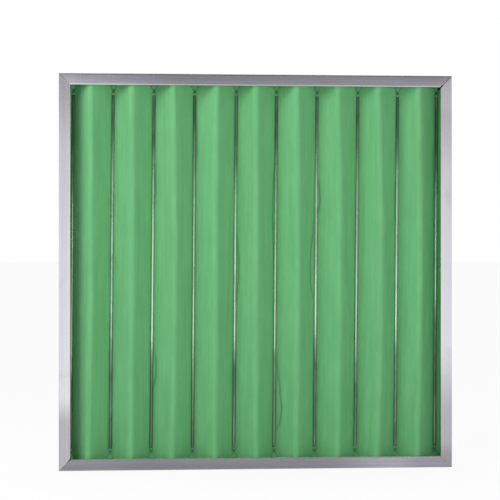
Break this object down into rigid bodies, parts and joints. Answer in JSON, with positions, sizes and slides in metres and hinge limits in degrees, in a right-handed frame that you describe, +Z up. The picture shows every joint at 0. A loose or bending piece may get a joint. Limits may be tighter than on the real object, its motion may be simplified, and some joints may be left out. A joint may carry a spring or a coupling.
{
  "type": "pleated panel air filter",
  "caption": "Square pleated air filter panel: a mitred aluminium channel frame around a deep-folded green fibre medium, with support rods in the folds and a welded mesh behind.",
  "frame": {"origin": "middle of the bottom edge that the panel stands on", "axes": "+X right along the bottom edge seen from the front, +Y from the front face to the rear face, +Z up along the folds"},
  "size_m": [0.595, 0.046, 0.595],
  "materials": {
    "frame_aluminium": "brushed along the rails",
    "filter_fibre": "soft non-woven felt",
    "rod_steel": "bright drawn wire",
    "mesh_steel": "zinc plated",
    "bracket_steel": "zinc plated",
    "rivet_aluminium": "satin"
  },
  "bodies": {
    "root": {"rail_bottom": "frame_aluminium", "rail_top": "frame_aluminium", "rail_left": "frame_aluminium", "rail_right": "frame_aluminium", "filter_media": "filter_fibre", "pleat_rod_01": "rod_steel", "pleat_rod_02": "rod_steel", "pleat_rod_03": "rod_steel", "pleat_rod_04": "rod_steel", "pleat_rod_05": "rod_steel", "pleat_rod_06": "rod_steel", "pleat_rod_07": "rod_steel", "pleat_rod_08": "rod_steel", "pleat_rod_09": "rod_steel", "pleat_rod_10": "rod_steel", "rear_mesh": "mesh_steel", "corner_bracket_bottom_left": "bracket_steel", "corner_bracket_bottom_right": "bracket_steel", "corner_bracket_top_right": "bracket_steel", "corner_bracket_top_left": "bracket_steel", "rivets": "rivet_aluminium"}
  },
  "joints": []
}
